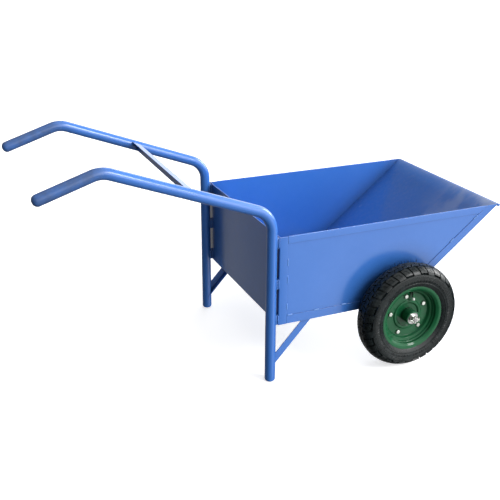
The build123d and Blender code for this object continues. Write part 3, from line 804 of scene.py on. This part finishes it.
def vent_hair(side, turn, out, length):
    """A thin moulding hair: a tapering circle carried out from the tyre's shoulder with a slight curl."""
    half, _ = tyre_half_section()
    radius = np.interp(abs(out), half[:300, 0], half[:300, 1])
    share = np.linspace(0, 1, 7)[:, None]
    radial = np.array([math.cos(turn), 0, math.sin(turn)])
    sideways = np.array([-math.sin(turn), 0, math.cos(turn)])
    root = np.array([axle_x, side * (wheel_y + out), axle_z]) + radial * (radius - 0.002)
    path = root + radial * share * length + sideways * share**2 * length * 0.25
    section = circle(1.0, 6)[None] * (0.0008 - 0.0004 * share)[:, :, None]
    return carried(path, section, (0, 1, 0))


def make_tyres():
    """Both tyres with their tread, and a row of moulding hairs left on the shoulder next to the tray."""
    for label, side in SIDES:
        wheel, slot = f"wheel_{label}", "tyre_rubber"
        shells, nodes_shown = [tyre_shell(side)], (f"tyre_{label}",)
        make_piece(f"tyre_tread_{label}", shells, tyre_rubber, wheel, nodes_shown, 32)
        turns = np.radians(np.linspace(*hair_turns, hair_count))
        outs = -0.029 - 0.006 * np.sin(5 * np.arange(hair_count))
        lengths = [0.0135 + 0.003 * math.sin(70 * turn) for turn in turns]
        hairs = [vent_hair(side, *hair) for hair in zip(turns, outs, lengths)]
        make_piece(f"vent_hairs_{label}", hairs, tyre_rubber, wheel)


# === Rims =================================================================================
rim_metal, disc_edge, ridge_out, rim_half_width = 0.002, 0.083, 0.013, 0.0375
ring_low, ring_high, ring_height, ring_slope = 0.0445, 0.0525, 0.004, 0.003


def rim_profile():
    """The outer face of one rim half, from the hub to its curled lip, and a parallel inner face."""
    seat = flange_radius - 0.015
    face = rounded(
        [
            (rim_metal, hub_radius),
            (rim_metal, ring_low - ring_slope),
            (rim_metal + ring_height, ring_low),
            (rim_metal + ring_height, ring_high),
            (rim_metal, ring_high + ring_slope),
            (rim_metal, disc_edge),
            (ridge_out - 0.001, disc_edge + 0.005),
            (ridge_out + 0.0005, seat - 0.0071),
            (ridge_out + 0.007, seat - 0.0056),
            (ridge_out + 0.0085, seat - rim_metal),
            (rim_half_width - 0.0075, seat - rim_metal),
            (rim_half_width - 0.0015, flange_radius - 0.009),
            (rim_half_width, flange_radius),
        ],
        0.0032,
        5,
    )
    run = np.gradient(face, axis=0)
    run /= np.linalg.norm(run, axis=1)[:, None]
    back = face + rim_metal * np.stack([-run[:, 1], run[:, 0]], axis=1)
    lip_middle = (face[-1] + back[-1]) / 2
    ahead = run[-1] * rim_metal / 2
    bulge = lip_middle + ahead
    quarter = lip_middle + ((face[-1] - lip_middle) + ahead) * 0.72
    last_quarter = lip_middle + ((back[-1] - lip_middle) + ahead) * 0.72
    return np.vstack([face, quarter, bulge, last_quarter, back[::-1]])


def make_rims():
    """Both halves of both rims as turned shells; the inner half is the outer one mirrored."""
    profile = rim_profile()
    for label, side in SIDES:
        for half, sign in (("outer", 1), ("inner", -1)):
            shell, node = turned(profile * (sign, 1), side), f"rim_{half}_{label}"
            name = f"rim_{half}_shell_{label}"
            make_piece(name, [shell], green_enamel, f"wheel_{label}", (node,), 55)


def make_split_pins():
    """A split pin through each axle nut: a round eye on the handle side and two legs bent apart."""
    pin_y = -middle_and_half("cotter_pin_right")[0][1]
    wire, eye = 0.0011, 0.0034
    start, end = axle_x - 0.0165, axle_x + 0.0150
    for label, side in SIDES:
        y = side * pin_y
        shells = []
        for leg in (1, -1):
            lane = leg * wire * 0.55
            path = [(start - eye - 0.0034, y, axle_z), (start - eye - 0.0022, y, axle_z + leg * 0.0028)]
            path += [(start - eye, y, axle_z + leg * 0.0034), (start - 0.0010, y, axle_z + leg * 0.0020)]
            path += [(start + 0.0015, y, axle_z + lane), (end, y, axle_z + lane)]
            path.append((end + 0.0022, y, axle_z + leg * 0.0022))
            path.append((end + 0.0012, y + side * 0.0012, axle_z + leg * 0.0085))
            shells.append(carried(smooth_curve(path, 70), circle(wire, 10), (0, 1, 0)))
        make_piece(f"split_pin_{label}", shells, zinc_plate, "barrow", (f"cotter_pin_{label}",))


# === Handle tubes =========================================================================
bend_radius, knee_above_tray = 0.080, 0.076
rise_run, rise_height, grip_run, grip_drop = 0.529, 0.199, 0.196, 0.065
foot_round, grip_round = 0.009, 0.016


def handle_path():
    """The middle line of a handle in side view: leg, knee, long rise, elbow and grip."""
    knee = tray_top + knee_above_tray
    corners = [(leg_x, 0.0), (leg_x, knee), (leg_x - rise_run, knee + rise_height)]
    corners.append((leg_x - rise_run - grip_run, knee + rise_height - grip_drop))
    line = rounded(corners, bend_radius, 22)
    return np.stack([line[:, 0], np.zeros(len(line)), line[:, 1]], axis=1)


def handle_shell(side):
    """A circle carried along the handle's middle line. Its radius follows a quarter circle at each end,
    so the closed foot and grip are rounded off; the middle line is cut more finely there."""
    path = handle_path()
    length = np.concatenate([[0], np.cumsum(np.linalg.norm(np.diff(path, axis=0), axis=1))])
    total = length[-1]
    quarter = np.linspace(0, math.pi / 2, 7)
    foot, grip = foot_round * (1 - np.cos(quarter)), total - grip_round * (1 - np.cos(quarter))
    places = np.unique(np.concatenate([foot, length[1:-1], np.linspace(0.03, total - 0.03, 60), grip]))
    line = np.stack([np.interp(places, length, path[:, k]) for k in range(3)], axis=1)
    line[:, 1] = side * tube_y
    foot_part = np.sqrt(np.clip(foot_round**2 - (foot_round - np.minimum(places, foot_round)) ** 2, 0, None))
    left = np.minimum(total - places, grip_round)
    grip_part = np.sqrt(np.clip(grip_round**2 - (grip_round - left) ** 2, 0, None))
    radius = tube_radius - foot_round + foot_part - grip_round + grip_part
    return carried(line, circle(1.0, 56)[None] * radius[:, None, None], (0, 1, 0))


def make_handles():
    """Both handle tubes with their closed ends."""
    for label, side in SIDES:
        nodes_shown = (f"handle_tube_{label}", f"foot_cap_{label}", f"grip_cap_{label}")
        shell = handle_shell(side)
        make_piece(f"handle_{label}", [shell], blue_enamel, "barrow", nodes_shown, 50)


# === Tray sheets ==========================================================================
def place_along_slope(height, depth):
    """A point (x, z) of the dump end at a height above ground, in from its outside by a depth."""
    return bend_x + (height - tray_bottom) / math.tan(slope) - depth / math.sin(slope), height


def bend_corner(depth):
    """The corner (x, z) between floor and dump end, in from both outsides by the same depth."""
    return bend_x - depth * math.tan(slope / 2), tray_bottom + depth


def channel_section():
    """Half-open channel outline as (y, depth): the sheet, with a flange folded in along each side."""
    outline = [
        (-half_width, side_flange), (-half_width, 0), (half_width, 0), (half_width, side_flange),
        (half_width - sheet, side_flange), (half_width - sheet, sheet), (sheet - half_width, sheet),
        (sheet - half_width, side_flange),
    ]
    return rounded(outline, [0, 0.0032, 0.0032, 0, 0, 0.0012, 0.0012, 0], 5, closed=True)


def lifted(section, along_x, along_z):
    """Outline points (x, y, z) from section rows (y, depth) and the x and z that each depth gives."""
    return np.stack([along_x, section[:, 0], along_z], axis=1)


def make_sheet(name, shells, *stands_for):
    """One blue sheet-metal piece of the tray."""
    return make_piece(name, shells, blue_enamel, "barrow", stands_for)


def make_tray():
    """The tray's five sheets, each an outline run straight from one end to the other, edges rounded."""
    section = channel_section()
    y, depth = section.T
    low = lifted(section, *bend_corner(depth))
    high_x, _ = place_along_slope(tray_top, depth)
    high = lifted(section, high_x, np.full(len(y), tray_top))
    dump = make_sheet("dump_sheet", [between(low, high, 9)], "dump_panel")

    rear_outline = np.stack([tray_rear + depth, y], axis=1)
    ends = (tray_bottom, tray_top - 0.0015)
    base, top = (np.column_stack([rear_outline, np.full(len(y), z)]) for z in ends)
    hem_half = half_width - 2 * sheet - seam_gap
    fold_outline = np.vstack(
        [
            np.array([tray_rear + 0.0020, tray_top - 0.0021]) + circle(0.0021, 16)[:9],
            [[tray_rear - 0.0001, tray_top - 0.004], [tray_rear + 0.0019, tray_top - 0.004]],
            [[tray_rear + 0.0021, tray_top - rear_hem], [tray_rear + 0.0041, tray_top - rear_hem]],
        ]
    )
    fold_x, fold_z = fold_outline.T
    hem_ends = [np.column_stack([fold_x, np.full(len(fold_x), e), fold_z]) for e in (-hem_half, hem_half)]
    rear = make_sheet("rear_sheet", [between(base, top, 7), between(*hem_ends, 9)], "rear_panel")

    edge = half_width - sheet
    floor_outline = np.array([(-edge, 0), (edge, 0), (edge, sheet), (-edge, sheet)])
    floor_depth = floor_outline[:, 1]
    floor_start = lifted(floor_outline, np.full(4, tray_rear + sheet), tray_bottom + floor_depth)
    shells = [between(floor_start, lifted(floor_outline, *bend_corner(floor_depth)), 9)]
    flange = np.array([(0, 0), (sheet, 0), (sheet, side_flange), (0, side_flange)])
    for _, side in SIDES:
        strip = np.column_stack([side * (edge + flange[:, 0]), flange[:, 1]])
        start = lifted(strip, np.full(4, tray_rear + side_flange + 0.0003), tray_bottom + strip[:, 1])
        shells.append(between(start, lifted(strip, *bend_corner(strip[:, 1])), 9))
    floor_sheet = make_sheet("floor_sheet", shells, "floor_panel")

    for label, side in SIDES:
        inner, middle = (side * (half_width - k * sheet) for k in (2, 1))
        under_hem = tray_top - 0.0012
        corners = [(tray_rear + sheet, tray_bottom + sheet), bend_corner(sheet)]
        corners += [place_along_slope(under_hem, sheet), (tray_rear + sheet, under_hem)]
        corner_x, corner_z = np.array(corners).T
        faces = [np.column_stack([corner_x, np.full(4, across), corner_z]) for across in (inner, middle)]
        turn = np.linspace(0, math.pi, 9)
        arc = np.column_stack([edge + sheet * np.cos(turn), tray_top - sheet + sheet * np.sin(turn)])
        hem_bottom = tray_top - top_hem
        flap = [(edge, tray_top - sheet), (edge, hem_bottom), (half_width, hem_bottom)]
        hem = np.vstack([arc, flap])
        front, _ = place_along_slope(hem[:, 1], side_flange + seam_gap)
        back = np.full(len(hem), tray_rear + side_flange + seam_gap)
        start, end = (np.column_stack([x, side * hem[:, 0], hem[:, 1]]) for x in (back, front))
        shells = [between(*faces), between(start, end, 9)]
        piece = make_sheet(f"side_sheet_{label}", shells, f"side_panel_{label}")
        add_bevel(piece, 0.0004)
    for piece in (dump, rear, floor_sheet):
        add_bevel(piece, 0.0004)


# === Welds ================================================================================
def weld_bead(start, end, up, width=0.005, height=0.0022, ripple=0.0022):
    """A weld run: half an ellipse carried in a straight line and tapered to nothing at both ends.
    Its size swells and shrinks by a tenth every ripple length."""
    start, end = np.asarray(start, float), np.asarray(end, float)
    span = np.linalg.norm(end - start)
    count = max(9, int(span / ripple * 5))
    share = np.linspace(0, 1, count)
    path = start + (end - start) * share[:, None]
    taper = np.sqrt(np.clip(1 - np.abs(2 * share - 1) ** 6, 0.02, 1))
    swell = taper * (1 + 0.13 * np.abs(np.sin(share * span / ripple * math.pi)))
    section = circle(1.0, 10) * (width / 2, height)
    return carried(path, section[None] * swell[:, None, None], up)


def make_welds():
    """Tack welds along the flange seams, and fillet welds where spacers, braces and crossbar join."""
    tacks, joints = [], []
    outer = half_width - sheet + 0.0006
    for _, side in SIDES:
        y, up = side * outer, (0, side, 0)
        seam_x = tray_rear + side_flange + 0.0008
        for low, high in ((0.418, 0.446), (0.356, 0.386), (0.262, 0.286)):
            tacks.append(weld_bead((seam_x, y, low), (seam_x, y, high), up, 0.0055, 0.0024))
        seam_z = tray_bottom + side_flange + 0.0006
        for low in (0.000, 0.100, 0.205, 0.310):
            x = leg_x + 0.054 + low
            tacks.append(weld_bead((x, y, seam_z), (x + 0.020, y, seam_z), up, 0.0055, 0.0024))
        for share in (0.32, 0.66, 0.95):
            height = tray_bottom + side_flange + share * (tray_top - tray_bottom - side_flange - top_hem)
            x, z = place_along_slope(height, side_flange + 0.0008)
            run = np.array([math.cos(slope), 0, math.sin(slope)]) * 0.010
            place = np.array([x, y, z])
            tacks.append(weld_bead(place - run, place + run, up, 0.0055, 0.0024))
        for height in ((tray_top - 0.020), (tray_top + tray_bottom) / 2 - 0.008, (tray_bottom + 0.019)):
            for corner in (-0.0115, 0.0115):
                across = side * tube_y + corner
                low, high = height - 0.017, height + 0.017
                for x in (tray_rear - 0.001, leg_x + math.sqrt(tube_radius**2 - corner**2)):
                    bead = weld_bead((x, across, low), (x, across, high), (0, corner, 0), 0.006, 0.003)
                    joints.append(bead)
    # The tack welds take the paler enamel, a painted highlight.
    make_piece("tack_welds", tacks, highlit_weld_enamel, "barrow")
    make_piece("fillet_welds", joints, blue_enamel, "barrow")


# === Small hard parts =====================================================================
def bevelled_copy(node, width, segments=2):
    """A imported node's own mesh with its edges joined and rounded, shown in its place."""
    source = nodes[node]
    mesh = source.data.copy()
    work = bmesh.new()
    work.from_mesh(mesh)
    bmesh.ops.remove_doubles(work, verts=work.verts, dist=1e-6)
    work.to_mesh(mesh)
    work.free()
    mesh.shade_smooth()
    mesh.set_sharp_from_angle(angle=math.radians(30))
    piece = bpy.data.objects.new(f"{node}_rounded", mesh)
    bpy.context.scene.collection.objects.link(piece)
    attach(piece, body_of[node])
    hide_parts(node)
    return add_bevel(piece, width, segments)


body_of = {node: body for body, names in frame["record"]["behaviour"]["bodies"].items() for node in names}


def make_hard_parts():
    """Rounded-edge copies of the parts that are machined, forged or cut from bar."""
    widths = {"handle_crossbar": 0.0006, "dump_lip_rod": 0.0004}
    for label, _ in SIDES:
        widths |= {f"{node}_{label}": 0.0008 for node in ("leg_brace", "leg_spacers", "axle_saddle")}
        widths |= {f"{node}_{label}": 0.0004 for node in ("rim_bolts", "rim_nuts", "axle_nut", "axle_washer")}
    for node, width in widths.items():
        bevelled_copy(node, width)


make_tyres()
make_rims()
make_split_pins()
make_handles()
make_tray()
make_welds()
make_hard_parts()


# === Floor, light and camera ==============================================================
floor_half, floor_glow = 400.0, 0.62
# Brightness of the main light, the dim rest, the light behind, overhead and far to the right.
front_light, dim_light, back_light, top_light, far_light = 2.9, 0.06, 0.16, 0.8, 1.7
panel_toward, panel_light, panel_core_light = (0.930, 0.05, 0.364), 3.5, 6.0
ground_dim, ground_front, ground_back, ground_behind, ground_sunny = 0.05, 0.45, 0.25, 0.7, 0.95
sun_toward, sun_angle, sun_strength = (0.50, -0.70, 0.62), 16.0, 0.9
camera_lens, camera_place = 57.255, (-1.073775, -2.425116, 1.44082)
camera_turn, camera_dip, camera_roll = -0.4082, 0.3902, 0.0049


def make_floor():
    """A wide pale floor under the barrow. It is lit, and takes shadows, but lends the barrow no light:
    what the barrow mirrors below the horizon is the lower half of the surroundings."""
    mesh = bpy.data.meshes.new("floor")
    corners = [(floor_half * x, floor_half * y, 0) for x, y in ((-1, -1), (1, -1), (1, 1), (-1, 1))]
    mesh.from_pydata(corners, [], [(0, 1, 2, 3)])
    floor = bpy.data.objects.new("floor", mesh)
    bpy.context.scene.collection.objects.link(floor)
    material, w, shader, _ = start_material("pale_floor")
    place = w.node("ShaderNodeTexCoord").outputs["Object"]
    pale = w.mix(w.noise(place, 0.6), (0.86, 0.86, 0.86, 1.0), (0.9, 0.9, 0.9, 1.0))
    w.plug(shader.inputs["Base Color"], pale)
    shader.inputs["Roughness"].default_value = 0.9
    shader.inputs["Specular IOR Level"].default_value = 0.0
    shader.inputs["Emission Color"].default_value = (1.0, 1.0, 1.0, 1.0)
    shader.inputs["Emission Strength"].default_value = floor_glow
    mesh.materials.append(material)
    floor.visible_diffuse = False
    floor.visible_glossy = False
    floor.visible_shadow = False


def make_world():
    """Soft studio surroundings. Light comes from the front and the right at a low height, with a pale
    ground there and a small bright panel far to the right; behind the handles it is dim."""
    world = bpy.data.worlds.new("studio")
    bpy.context.scene.world = world
    world.use_nodes = True
    w = Wiring(world.node_tree)
    background = next(n for n in world.node_tree.nodes if n.type == "BACKGROUND")
    direction = w.node("ShaderNodeTexCoord").outputs["Generated"]
    split = w.node("ShaderNodeSeparateXYZ")
    w.plug(split.inputs[0], direction)
    x, y, z = split.outputs
    front = w.ramp(w.times(y, -1.0), -0.25, 0.75)
    back = w.ramp(y, 0.2, 0.7)
    right = w.ramp(x, -0.55, 0.40, 0.04, 1.0)
    low = w.ramp(z, 0.35, 0.85, 1.0, 0.35)

    sky = w.add(dim_light, w.times(w.times(front, right), w.times(low, front_light)))
    sky = w.add(sky, w.times(back, back_light))
    sky = w.add(sky, w.ramp(z, 0.75, 1.0, 0.0, top_light))
    far_right = w.times(w.ramp(x, 0.1, 0.5), w.ramp(y, 0.3, 0.6))
    sky = w.add(sky, w.times(far_right, far_light))

    toward = w.node("ShaderNodeVectorMath", operation="DOT_PRODUCT")
    w.plug(toward.inputs[0], direction)
    toward.inputs[1].default_value = panel_toward
    panel = w.ramp(toward.outputs["Value"], 0.90, 0.96, 0.0, panel_light)
    core = w.ramp(toward.outputs["Value"], 0.97, 0.985, 0.0, panel_core_light)
    sky = w.add(sky, w.add(panel, core))

    ground = w.add(ground_dim, w.times(w.times(front, right), ground_front))
    ground = w.add(ground, w.times(back, ground_back))
    behind = w.times(w.ramp(x, 0.25, 0.45), w.ramp(y, 0.45, 0.70))
    ground = w.add(ground, w.times(behind, ground_behind))
    sunny = w.times(w.ramp(x, 0.25, 0.50), w.ramp(z, -0.62, -0.45))
    sunny = w.times(sunny, w.ramp(w.times(y, -1.0), 0.45, 0.70))
    ground = w.add(ground, w.times(sunny, ground_sunny))
    above = w.ramp(z, -0.04, 0.04)
    below = w.maths("SUBTRACT", 1.0, above)
    level = w.add(w.times(sky, above), w.times(ground, below))
    w.plug(background.inputs["Color"], (1.0, 1.0, 1.0, 1.0))
    w.plug(background.inputs["Strength"], level)


def add_sun(name, toward, angle, strength):
    """A soft distant light that comes from one direction."""
    lamp = bpy.data.lights.new(name, "SUN")
    lamp.angle = math.radians(angle)
    lamp.energy = strength
    sun = bpy.data.objects.new(name, lamp)
    bpy.context.scene.collection.objects.link(sun)
    sun.matrix_world = Vector(toward).to_track_quat("Z", "Y").to_matrix().to_4x4()


def make_camera():
    """The camera stands behind the left grip, above it, and looks down along the barrow."""
    lens = bpy.data.cameras.new("camera")
    lens.sensor_width = 36.0
    lens.lens = camera_lens
    camera = bpy.data.objects.new("camera", lens)
    bpy.context.scene.collection.objects.link(camera)
    aim = Matrix.Rotation(camera_turn, 4, "Z") @ Matrix.Rotation(math.pi / 2 - camera_dip, 4, "X")
    aim = aim @ Matrix.Rotation(camera_roll, 4, "Z")
    camera.matrix_world = Matrix.Translation(camera_place) @ aim
    bpy.context.scene.camera = camera


make_floor()
make_world()
add_sun("key", sun_toward, sun_angle, sun_strength)
make_camera()
bpy.context.scene.view_settings.view_transform = "Standard"
